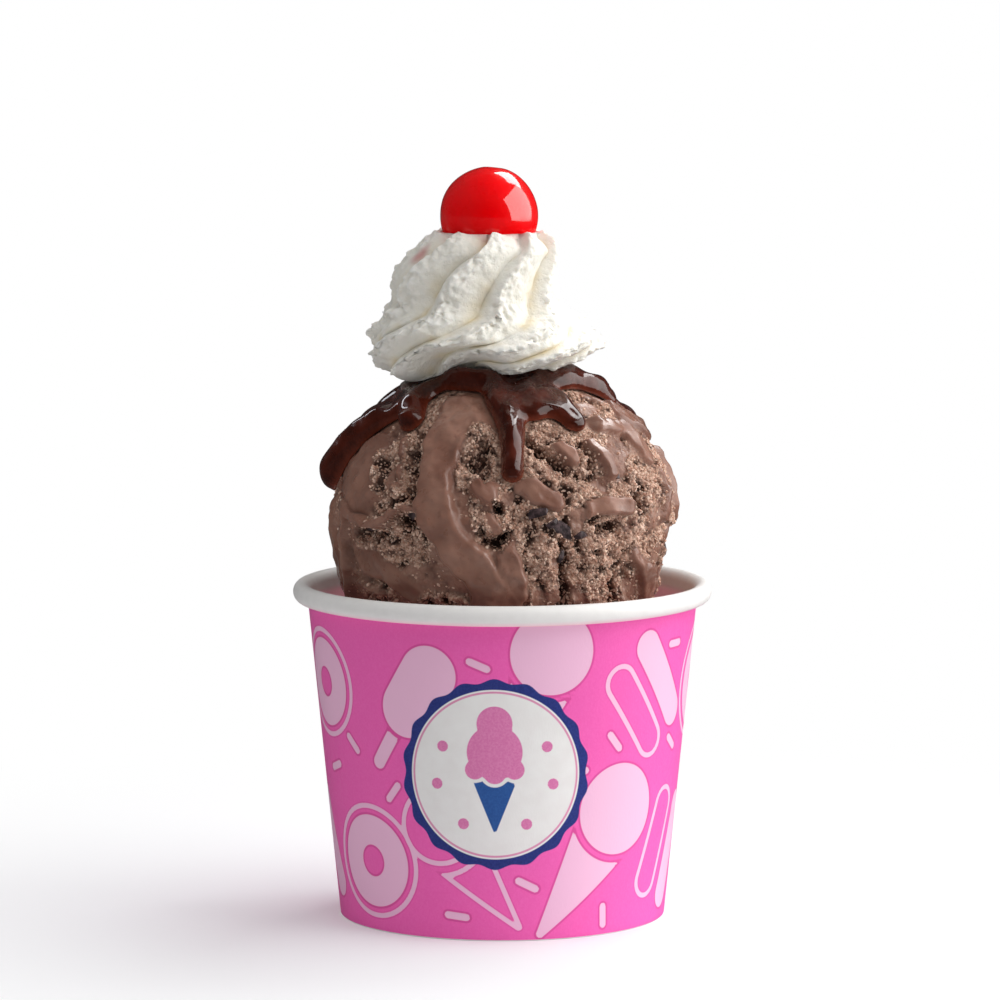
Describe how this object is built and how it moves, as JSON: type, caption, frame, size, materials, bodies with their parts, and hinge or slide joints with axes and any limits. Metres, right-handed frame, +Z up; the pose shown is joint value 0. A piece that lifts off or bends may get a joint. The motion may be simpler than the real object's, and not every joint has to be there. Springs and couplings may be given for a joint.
{
  "type": "ice cream sundae",
  "caption": "Chocolate ice cream scoop in a pink paper cup, with fudge sauce, a piped swirl of whipped cream and a cherry on top.",
  "frame": {"origin": "centre of the cup's foot, on the surface that it stands on", "axes": "+Z up along the cup's axis; the side that the picture shows faces -Y"},
  "size_m": [0.086, 0.086, 0.154],
  "materials": {
    "cup_paper": "pink printed board with a white rolled rim and a thin satin coating",
    "cup_floor_paper": "white coated board",
    "chocolate_ice_cream": "milk chocolate ice cream, smooth and wet where melted, granular where torn",
    "fudge_sauce": "thick glossy dark sauce",
    "whipped_cream": "soft off-white cream with torn ridges",
    "cherry": "glossy translucent red, syrup coated"
  },
  "bodies": {
    "root": {"cup_sleeve": "cup_paper", "cup_floor": "cup_floor_paper", "ice_cream": "chocolate_ice_cream", "fudge_sauce": "fudge_sauce", "whipped_cream": "whipped_cream", "cherry": "cherry"}
  },
  "joints": []
}
